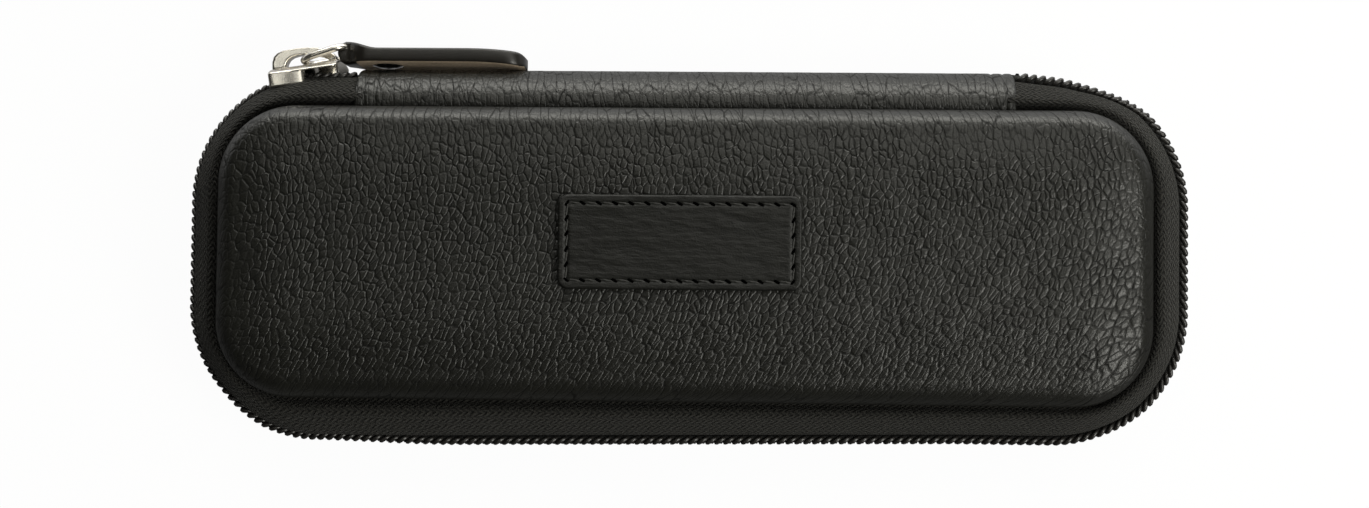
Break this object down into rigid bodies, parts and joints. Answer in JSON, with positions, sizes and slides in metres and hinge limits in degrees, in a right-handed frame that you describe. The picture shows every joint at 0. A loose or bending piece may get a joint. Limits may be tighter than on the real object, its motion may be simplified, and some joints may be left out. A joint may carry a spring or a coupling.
{
  "type": "fountain pen case",
  "caption": "Slim padded leather pen case with rounded corners: a zip runs round three sides to a leather spine, the lid folds back on it, and elastic loops hold the pens inside",
  "frame": {"origin": "middle of the flat rear cover, which lies on the table", "axes": "+X along the case to the right, +Y to the spine, +Z out of the front cover"},
  "size_m": [0.17, 0.0687, 0.03],
  "materials": {
    "cover_leather": "pebbled black leather, satin",
    "patch_leather": "smooth black leather, satin",
    "tab_leather": "black leather with painted edges and a raw brown underside",
    "zip_tape": "black woven herringbone tape, matt",
    "zip_nylon": "black nylon, satin",
    "lining_cloth": "black lining cloth, matt",
    "elastic": "black woven elastic, matt",
    "foam": "grey sheet foam",
    "board": "grey board",
    "nickel": "satin nickel on cast zinc",
    "black_enamel": "gloss black enamel"
  },
  "bodies": {
    "rear_half": {"rear_leather": "cover_leather", "rear_foam": "foam", "rear_board": "board", "rear_lining": "lining_cloth", "rear_zip_tape": "zip_tape", "rear_zip_coil": "zip_nylon", "spine_leather": "cover_leather", "spine_lining": "lining_cloth", "zip_end_tape_left": "zip_tape", "zip_end_tape_right": "zip_tape", "zip_end_coil_left": "zip_nylon", "zip_end_coil_right": "zip_nylon", "pen_loops_left": "elastic", "pen_loops_right": "elastic"},
    "front_half": {"front_leather": "cover_leather", "front_foam": "foam", "front_board": "board", "front_lining": "lining_cloth", "front_zip_tape": "zip_tape", "front_zip_coil": "zip_nylon", "label_patch": "patch_leather"},
    "slider": {"slider_body": "nickel", "slider_bridge": "nickel"},
    "pull_link": {"pull_link": "nickel"},
    "pull_tab": {"pull_tab": "tab_leather", "pull_rivet": "black_enamel"}
  },
  "joints": [
    {"name": "lid_fold", "type": "hinge", "parent": "rear_half", "child": "front_half", "pos_m": [0, 0.02445, 0.023], "axis": [-1, 0, 0], "range_deg": [0, 110], "deforming": ["front_zip_coil", "rear_zip_coil"]},
    {"name": "slider_run", "type": "hinge", "parent": "rear_half", "child": "slider", "pos_m": [-0.062, 0.00875, 0.014], "axis": [0, 0, 1], "range_deg": [0, 60], "deforming": ["front_zip_coil", "rear_zip_coil", "zip_end_coil_left"]},
    {"name": "link_swing", "type": "hinge", "parent": "slider", "child": "pull_link", "pos_m": [-0.06554, 0.03304, 0.014], "axis": [0, 0, 1], "range_deg": [0, 130]},
    {"name": "tab_swing", "type": "hinge", "parent": "pull_link", "child": "pull_tab", "pos_m": [-0.05809, 0.03501, 0.014], "axis": [0, 0, 1], "range_deg": [0, 60]}
  ]
}
